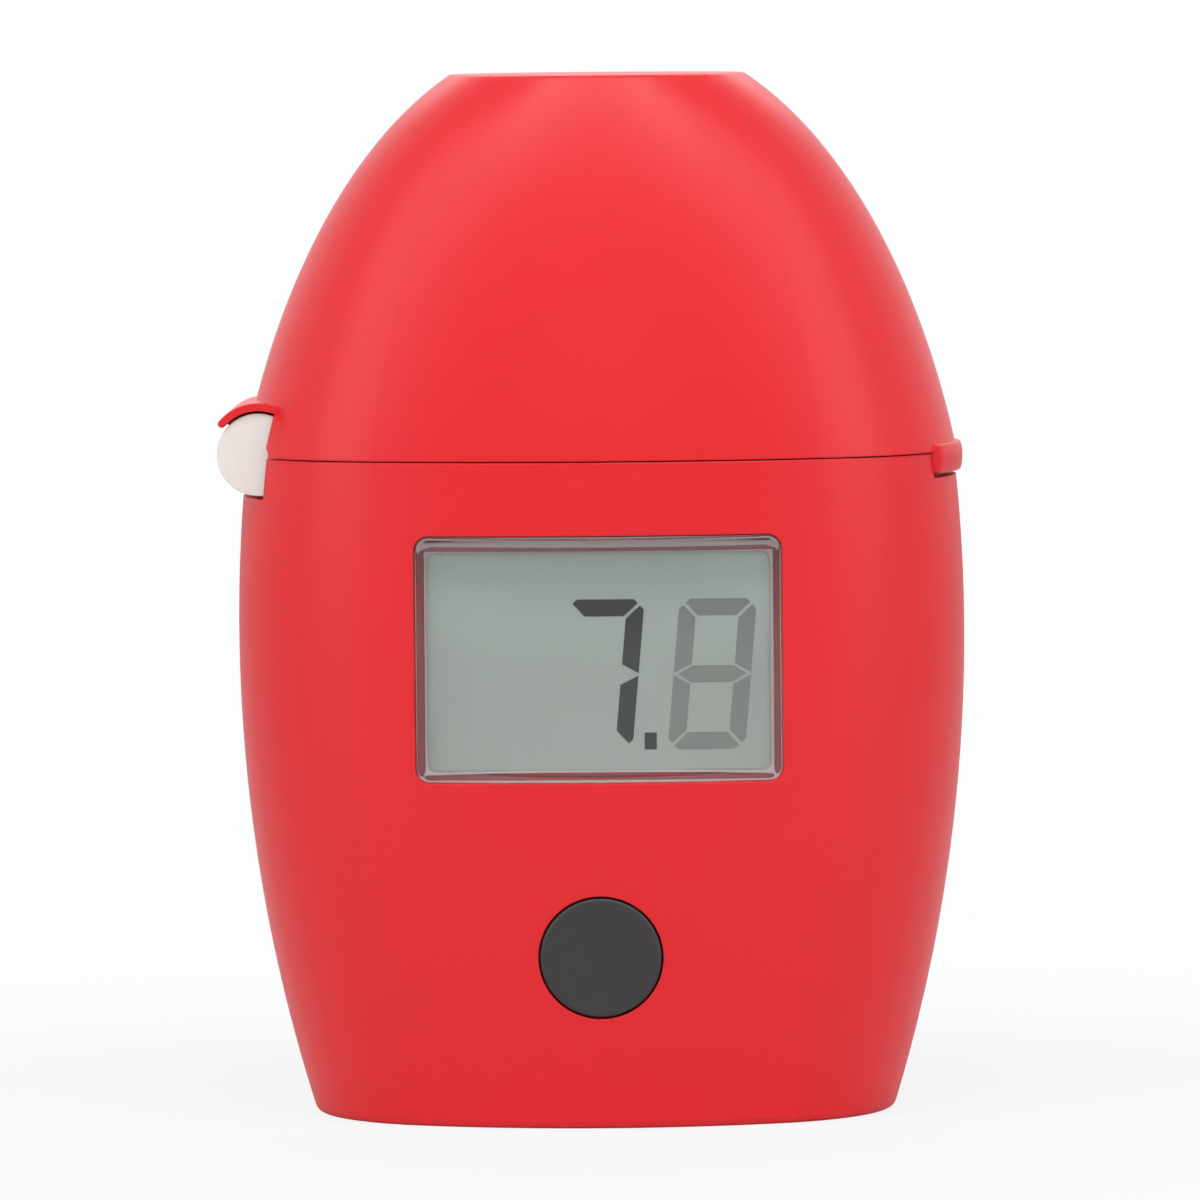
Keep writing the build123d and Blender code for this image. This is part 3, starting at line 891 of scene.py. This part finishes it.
@dataclass(frozen=True)
class DecimalPoint:
    """Upright point on the numerals' base line."""

    centre_x_mm: float = 4.1
    width_mm: float = 0.98
    height_mm: float = 1.39

    def build(self, face_y_mm: float, low_z_mm: float) -> None:
        """Cut the point and lay it on the display's face.

        Args:
            face_y_mm: Y of the front of the display glass.
            low_z_mm: Height of the base line.
        """
        left = self.centre_x_mm - self.width_mm / 2
        right = self.centre_x_mm + self.width_mm / 2
        bm = bmesh.new()
        add_plate(bm, [(left, 0), (right, 0), (right, self.height_mm), (left, self.height_mm)])
        bmesh.ops.translate(bm, verts=bm.verts, vec=Vector((0, face_y_mm, low_z_mm)) * MM)
        as_piece("decimal_point", bm, Finish.INK_DARK, "case")


@dataclass(frozen=True)
class WindowLens:
    """Clear lens that follows the front of the case: round rim, raised border, flange behind."""

    case: CaseFront = CaseFront()
    below_case_mm: float = 0.1
    width_mm: float = 29.8
    height_mm: float = 20.0
    corner_mm: float = 1.1
    corner_strips: int = 10
    centre_z_mm: float = 38.6
    rim_mm: float = 0.3
    rim_strips: int = 4
    border_mm: float = 0.45
    step_mm: float = 0.18
    recess_mm: float = 0.1
    flange_front_mm: float = -15.6
    flange_back_mm: float = -15.0
    lip_mm: float = 0.95
    cut_mm: float = 0.8
    snap_mm: float = 0.0001

    def block_out(self, bm: bmesh.types.BMesh, crown_mm: float) -> None:
        """Raise a flat lens from its flange and round its rim.

        Args:
            bm: Empty mesh that gets the lens.
            crown_mm: Y of the foremost point of the face.
        """
        thickness = self.flange_back_mm - self.flange_front_mm
        middle = (0, self.flange_back_mm - thickness / 2, self.centre_z_mm)
        add_block(bm, middle, (self.width_mm + 2 * self.lip_mm, thickness, self.height_mm + 2 * self.lip_mm))
        corners = [edge for edge in bm.edges if along_depth(edge, thickness / 2)]
        round_edges(bm, corners, self.corner_mm + self.lip_mm, self.corner_strips)
        front = min(bm.faces, key=lambda face: face.calc_center_median().y)
        bmesh.ops.inset_region(bm, faces=[front], thickness=self.lip_mm * MM, use_even_offset=True)
        made = bmesh.ops.extrude_face_region(bm, geom=[front])["geom"]
        bmesh.ops.delete(bm, geom=[front], context="FACES_ONLY")
        moved = [item for item in made if isinstance(item, bmesh.types.BMVert)]
        bmesh.ops.translate(bm, verts=moved, vec=(0, (crown_mm - self.flange_front_mm) * MM, 0))
        face = min(bm.faces, key=lambda item: item.calc_center_median().y)
        round_edges(bm, list(face.edges), self.rim_mm, self.rim_strips)
        face = min(bm.faces, key=lambda item: item.calc_center_median().y)
        for inset, depth in ((self.border_mm, 0.0), (self.step_mm, -self.recess_mm)):
            bmesh.ops.inset_region(
                bm, faces=[face], thickness=inset * MM, depth=depth * MM, use_even_offset=True
            )

    def cut_strips(self, bm: bmesh.types.BMesh) -> None:
        """Cut the lens into narrow strips both ways, so that it can bend.

        Args:
            bm: Mesh that holds the lens.
        """
        across = (Vector((1, 0, 0)), 0.0, self.width_mm)
        upright = (Vector((0, 0, 1)), self.centre_z_mm, self.height_mm)
        for normal, middle, size in (across, upright):
            steps = int(size / 2 / self.cut_mm)
            for step in range(-steps, steps + 1):
                bmesh.ops.bisect_plane(
                    bm,
                    geom=bm.verts[:] + bm.edges[:] + bm.faces[:],
                    dist=self.snap_mm * MM,
                    plane_co=normal * (middle + step * self.cut_mm) * MM,
                    plane_no=normal,
                )

    def build(self) -> None:
        """Block out the lens, cut it into strips and bend them to the case's front."""
        bm = bmesh.new()
        crown = self.case.face_y(0, self.case.waist_z_mm, self.below_case_mm)
        self.block_out(bm, crown)
        self.cut_strips(bm)
        middle = (crown + self.flange_front_mm) / 2 * MM
        for vert in bm.verts:
            if vert.co.y < middle:
                face = self.case.face_y(vert.co.x / MM, vert.co.z / MM, self.below_case_mm)
                vert.co.y += (face - crown) * MM
        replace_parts(as_piece("window_lens_polished", bm, Finish.ACRYLIC, "case"), "window_lens")


@dataclass(frozen=True)
class PaintedLightRing:
    """Thin ring between the lens and the glass, with round inner corners; the display has one of painted
    shade and two of painted highlight.
    """

    name: str
    finish: Finish
    opening_mm: Point2
    wide_mm: float
    span_y_mm: Point2
    centre_z_mm: float = 38.2
    corner_mm: float = 1.0
    corner_strips: int = 8

    def build(self) -> None:
        """Inset both faces of a block, bridge them, and round the opening's corners."""
        front, back = self.span_y_mm
        width, height = (side + 2 * self.wide_mm for side in self.opening_mm)
        bm = bmesh.new()
        add_block(bm, (0, (front + back) / 2, self.centre_z_mm), (width, back - front, height))
        faces = [face for face in bm.faces if abs(face.normal.y) > 0.5]
        bmesh.ops.inset_individual(bm, faces=faces, thickness=self.wide_mm * MM, use_even_offset=True)
        rims = [edge for face in faces for edge in face.edges]
        bmesh.ops.delete(bm, geom=faces, context="FACES_ONLY")
        bmesh.ops.bridge_loops(bm, edges=rims)
        bmesh.ops.recalc_face_normals(bm, faces=bm.faces)
        reach = (self.opening_mm[0] + self.wide_mm) / 2 * MM
        corners = [edge for edge in bm.edges if along_depth(edge, (back - front) / 2)]
        inner = [edge for edge in corners if abs(edge.verts[0].co.x) < reach]
        round_edges(bm, inner, self.corner_mm, self.corner_strips)
        as_piece(self.name, bm, self.finish, "case")


@dataclass
class Display(SubAssembly):
    """Window lens, display glass, frame, film and contact strips, with the numerals shown."""

    face_y_mm: float = -14.7
    lens: WindowLens = WindowLens()
    # Rings of painted shade and painted highlight: the maroon ring stands for the shaded case wall, the pale
    # ones for glints on the lens rim
    painted_rings: tuple[PaintedLightRing, ...] = (
        PaintedLightRing(
            "window_painted_shade_ring",
            Finish.GASKET,
            opening_mm=(28.25, 18.2),
            wide_mm=1.65,
            span_y_mm=(-14.94, -14.76),
        ),
        PaintedLightRing(
            "window_inner_painted_glint",
            Finish.BEAD,
            opening_mm=(28.1, 18.05),
            wide_mm=0.16,
            span_y_mm=(-14.98, -14.95),
        ),
        PaintedLightRing(
            "window_outer_painted_glint",
            Finish.BEAD,
            opening_mm=(29.1, 19.2),
            wide_mm=0.2,
            span_y_mm=(-14.98, -14.95),
            centre_z_mm=38.3,
            corner_mm=1.2,
        ),
    )
    reading: tuple[Numeral, ...] = (
        Numeral("numeral_ones", centre_x_mm=0.05, lit="abc", finish=Finish.INK_DARK),
        Numeral("numeral_tenths", centre_x_mm=9.1, lit="abcdefg", finish=Finish.INK_GREY),
    )
    point: DecimalPoint = DecimalPoint()

    finishes: ClassVar[dict[str, Finish]] = {
        "display_glass": Finish.FIELD,
        "display_frame": Finish.WHITE_ABS,
        "display_reflector": Finish.FILM,
        "display_contact_strips": Finish.ELASTOMER,
    }

    def build(self) -> None:
        """Build the lens and the rings of painted shade and painted highlight behind it, and lay the
        numerals and the point on the glass.
        """
        self.lens.build()
        for ring in self.painted_rings:
            ring.build()
        for numeral in self.reading:
            numeral.build(self.face_y_mm)
        ones = self.reading[0]
        self.point.build(self.face_y_mm, ones.centre_z_mm - ones.height_mm / 2)


@dataclass
class PushButton(SubAssembly):
    """Round button in the sloping front wall, with the switch behind it."""

    case: CaseFront = CaseFront()
    centre_z_mm: float = 14.2
    radius_mm: float = 4.95
    height_mm: float = 1.9
    dish_mm: float = 0.25
    dish_steps: int = 10
    rim_mm: float = 0.5
    rounding_mm: float = 0.3
    rounding_steps: int = 6
    flange_mm: float = 0.9
    flange_thickness_mm: float = 0.6
    plunger_radius_mm: float = 1.6
    plunger_end_mm: float = 2.6
    turn_steps: int = 128
    weld_mm: float = 0.001

    finishes: ClassVar[dict[str, Finish]] = {"tact_switch": Finish.BLACK_ABS}

    def profile(self) -> list[Point2]:
        """Trace half the cap's section, from the middle of the dish round to the plunger's end.

        Returns:
            Radius and depth of each point, in millimetres.
        """
        bowl = self.radius_mm - self.rim_mm
        shares = [i / self.dish_steps for i in range(self.dish_steps + 1)]
        points = [(bowl * share, self.dish_mm * (1 - share**2)) for share in shares]
        centre = self.radius_mm - self.rounding_mm
        for i in range(self.rounding_steps + 1):
            turn = math.radians(90 / self.rounding_steps * i)
            across = centre + self.rounding_mm * math.sin(turn)
            points.append((across, self.rounding_mm * (1 - math.cos(turn))))
        skirt = self.radius_mm + self.flange_mm
        shoulder = self.height_mm + self.flange_thickness_mm
        points += [
            (self.radius_mm, self.height_mm),
            (skirt, self.height_mm),
            (skirt, shoulder),
            (self.plunger_radius_mm, shoulder),
            (self.plunger_radius_mm, self.plunger_end_mm),
            (0.0, self.plunger_end_mm),
        ]
        return points

    def build(self) -> None:
        """Spin the cap's section about its axis and set it square to the wall."""
        bm = bmesh.new()
        verts = [bm.verts.new(Vector((r, 0, depth)) * MM) for r, depth in self.profile()]
        edges = [bm.edges.new(pair) for pair in zip(verts, verts[1:])]
        bmesh.ops.spin(
            bm,
            geom=verts + edges,
            cent=(0, 0, 0),
            axis=(0, 0, 1),
            dvec=(0, 0, 0),
            angle=math.tau,
            steps=self.turn_steps,
            use_merge=True,
            use_duplicate=False,
        )
        bmesh.ops.remove_doubles(bm, verts=bm.verts, dist=self.weld_mm * MM)
        bmesh.ops.recalc_face_normals(bm, faces=bm.faces)
        inward = Matrix.Rotation(self.case.slope(self.centre_z_mm) - math.pi / 2, 4, "X")
        middle = Vector((0, self.case.face_y(0, self.centre_z_mm), self.centre_z_mm))
        bmesh.ops.transform(bm, matrix=Matrix.Translation(middle * MM) @ inward, verts=bm.verts)
        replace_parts(as_piece("button_dished_cap", bm, Finish.BUTTON_ABS, "button"), "button_cap")


@dataclass
class CuvetteWell(SubAssembly):
    """Well for the cuvette, with its lamp on the left and its filter and sensor on the right."""

    finishes: ClassVar[dict[str, Finish]] = {
        "cuvette_well": Finish.BLACK_ABS,
        "led_holder": Finish.BLACK_ABS,
        "led_lamp": Finish.RESIN,
        "led_board": Finish.SOLDER,
        "sensor_holder": Finish.BLACK_ABS,
        "light_filter": Finish.FILTER,
        "photodiode": Finish.EPOXY,
        "sensor_board": Finish.SOLDER,
    }


@dataclass
class MainBoard(SubAssembly):
    """Board behind the display, with the parts soldered to its back."""

    finishes: ClassVar[dict[str, Finish]] = {
        "main_board": Finish.SOLDER,
        "controller_chip": Finish.EPOXY,
        "amplifier_chip": Finish.EPOXY,
        "crystal_can": Finish.ZINC,
        "board_capacitor": Finish.ZINC,
        "board_screws": Finish.ZINC,
    }


@dataclass
class PowerBay(SubAssembly):
    """Battery in its tray between its contacts, behind the screwed door in the back."""

    finishes: ClassVar[dict[str, Finish]] = {
        "battery_cell": Finish.SLEEVE,
        "battery_tray": Finish.BLACK_ABS,
        "contact_spring": Finish.NICKEL,
        "contact_plate": Finish.NICKEL,
        "battery_door": Finish.RED_ABS,
        "door_screw": Finish.ZINC,
    }


@dataclass(frozen=True)
class SoftBox:
    """Rectangular lamp of the light tent, aimed at a height on the instrument's axis."""

    name: str
    place_mm: Point3
    aim_z_mm: float
    width_mm: float
    height_mm: float
    power_w: float

    def build(self) -> None:
        """Hang the lamp and turn it to its aim."""
        data = bpy.data.lights.new(self.name, "AREA")
        data.shape = "RECTANGLE"
        data.size = self.width_mm * MM
        data.size_y = self.height_mm * MM
        data.energy = self.power_w
        lamp = bpy.data.objects.new(self.name, data)
        place = Vector(self.place_mm) * MM
        aim = Vector((0, 0, self.aim_z_mm)) * MM
        lamp.location = place
        lamp.rotation_euler = (aim - place).to_track_quat("-Z", "Y").to_euler()
        bpy.context.scene.collection.objects.link(lamp)


@dataclass(frozen=True)
class Studio:
    """White light tent: floor, lamps, world and the camera of the photograph."""

    camera_distance_mm: float = 849.0
    camera_height_mm: float = 97.0
    camera_left_mm: float = 0.12
    orbit_deg: float = 1.0
    tilt_deg: float = 3.685
    roll_deg: float = 0.52
    lens_mm: float = 307.4
    sensor_mm: float = 36.0
    clip_mm: float = 10.0
    floor_size_mm: float = 6000.0
    floor_drop_mm: float = 0.03
    backdrop: str = "#fdfeff"
    fill: float = 0.4
    room: float = 0.35
    lamps: tuple[SoftBox, ...] = (
        SoftBox("left", (-620, -400, 380), aim_z_mm=60, width_mm=520, height_mm=700, power_w=1.75),
        SoftBox("right", (620, -400, 380), aim_z_mm=60, width_mm=520, height_mm=700, power_w=1.75),
        SoftBox("top", (0, -430, 760), aim_z_mm=60, width_mm=800, height_mm=220, power_w=3.2),
        SoftBox("front", (0, -1500, 520), aim_z_mm=50, width_mm=900, height_mm=500, power_w=1.0),
        SoftBox("back", (0, 620, 560), aim_z_mm=40, width_mm=800, height_mm=400, power_w=1.6),
    )

    def build_camera(self) -> None:
        """Place the camera as the photograph has it."""
        data = bpy.data.cameras.new("camera")
        data.lens = self.lens_mm
        data.sensor_width = self.sensor_mm
        data.clip_start = self.clip_mm * MM
        camera = bpy.data.objects.new("camera", data)
        turn = Matrix.Rotation(math.radians(90 - self.tilt_deg), 4, "X")
        roll = Matrix.Rotation(math.radians(-self.roll_deg), 4, "Z")
        orbit = Matrix.Rotation(math.radians(self.orbit_deg), 4, "Z")
        stand = Vector((-self.camera_left_mm, -self.camera_distance_mm, self.camera_height_mm)) * MM
        camera.matrix_world = orbit @ Matrix.Translation(stand) @ turn @ roll
        bpy.context.scene.collection.objects.link(camera)
        bpy.context.scene.camera = camera

    def build_world(self) -> None:
        """Give the tent a white backdrop for the eye and a dimmer fill for the object."""
        world = bpy.data.worlds.new("tent")
        world.use_nodes = True
        tree = world.node_tree
        tree.nodes.clear()
        ray = add_node(tree, "ShaderNodeLightPath")
        seen = add_node(
            tree,
            "ShaderNodeMath",
            {0: ray.outputs["Is Camera Ray"], 1: ray.outputs["Is Transmission Ray"]},
            operation="MAXIMUM",
        )
        shown = add_node(
            tree,
            "ShaderNodeMath",
            {0: seen.outputs["Value"], 1: ray.outputs["Is Glossy Ray"]},
            operation="MAXIMUM",
        )
        # A room darker than the backdrop stands behind the camera, and only reflections show it
        place = add_node(tree, "ShaderNodeTexCoord")
        axes = add_node(tree, "ShaderNodeSeparateXYZ", {"Vector": place.outputs["Generated"]})
        room = add_node(
            tree,
            "ShaderNodeMapRange",
            {
                "Value": axes.outputs["Y"],
                "From Min": -1.0,
                "From Max": 0.0,
                "To Min": self.room,
                "To Max": 1.0,
            },
        )
        bright = add_node(
            tree,
            "ShaderNodeMath",
            {0: seen.outputs["Value"], 1: room.outputs["Result"]},
            operation="MAXIMUM",
        )
        strength = add_node(
            tree,
            "ShaderNodeMapRange",
            {"Value": shown.outputs["Value"], "To Min": self.fill, "To Max": bright.outputs["Value"]},
        )
        paper = add_node(
            tree,
            "ShaderNodeBackground",
            {"Color": linear(self.backdrop), "Strength": strength.outputs["Result"]},
        )
        add_node(tree, "ShaderNodeOutputWorld", {"Surface": paper.outputs["Background"]})
        bpy.context.scene.world = world

    def build_floor(self) -> None:
        """Lay the white sheet that the instrument stands on."""
        bm = bmesh.new()
        below = Matrix.Translation((0, 0, -self.floor_drop_mm * MM))
        bmesh.ops.create_grid(bm, x_segments=1, y_segments=1, size=self.floor_size_mm / 2 * MM, matrix=below)
        as_object("floor", bm, Finish.PAPER)

    def build(self) -> None:
        """Set the camera, the lamps, the world and the floor."""
        self.build_camera()
        for lamp in self.lamps:
            lamp.build()
        self.build_world()
        self.build_floor()
        bpy.context.scene.view_settings.view_transform = "Standard"
        LOG.info("built studio")


def main() -> None:
    """Build the studio, then build and dress each sub-assembly in turn."""
    logging.basicConfig(level=logging.INFO)
    Studio().build()
    for assembly in (Housing(), Lid(), Display(), PushButton(), CuvetteWell(), MainBoard(), PowerBay()):
        assembly.dress()
        assembly.build()


if __name__ == "__main__":
    main()
